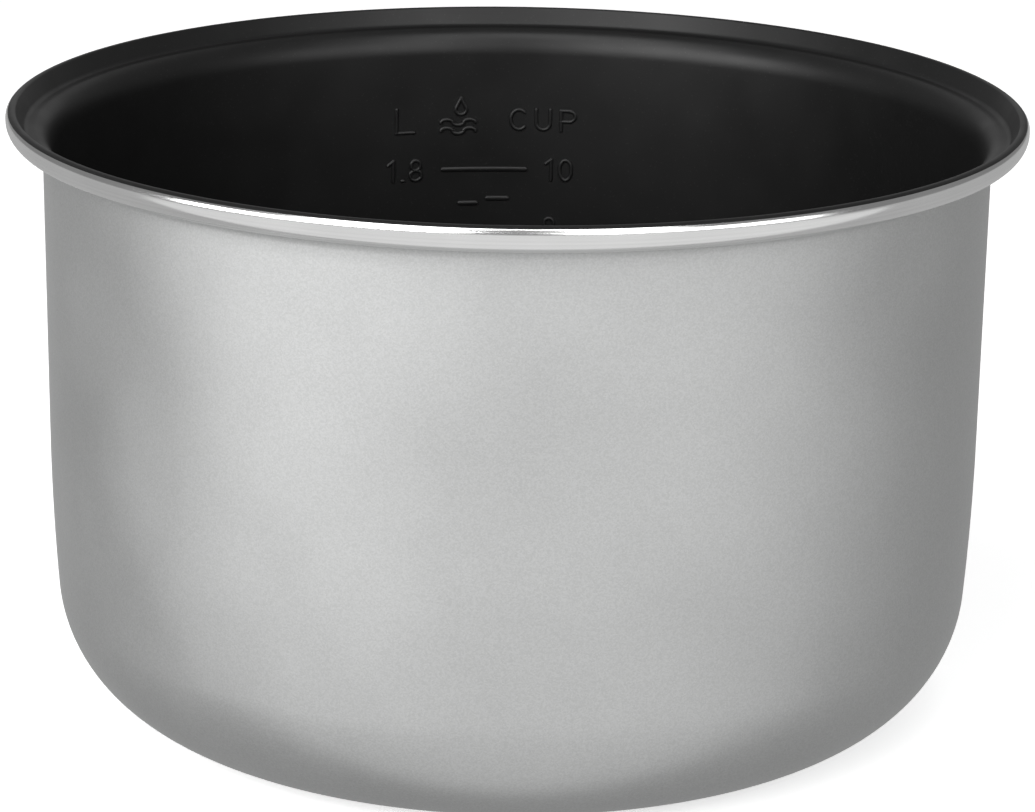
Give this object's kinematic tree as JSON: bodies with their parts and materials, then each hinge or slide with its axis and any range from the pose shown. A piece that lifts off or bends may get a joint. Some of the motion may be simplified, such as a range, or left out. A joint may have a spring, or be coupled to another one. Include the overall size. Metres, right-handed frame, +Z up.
{
  "type": "rice cooker inner pot",
  "caption": "Round drawn metal cooking pot with a flanged rim, a black nonstick lining with raised level marks, and a satin silver outer coat.",
  "frame": {"origin": "on the pot's axis, in the plane of the foot ring that it stands on", "axes": "+Z up along the pot's axis; +Y towards the part of the wall that carries the level marks; -Y is the front"},
  "size_m": [0.25, 0.25, 0.1525],
  "materials": {
    "bare_metal": "turned and polished at the rim and under the base",
    "nonstick_black": "satin black nonstick film",
    "satin_silver": "satin silver coat with a fine metallic grain"
  },
  "bodies": {
    "root": {"pot_shell": "bare_metal", "nonstick_lining": "nonstick_black", "silver_outer_coat": "satin_silver"}
  },
  "joints": []
}
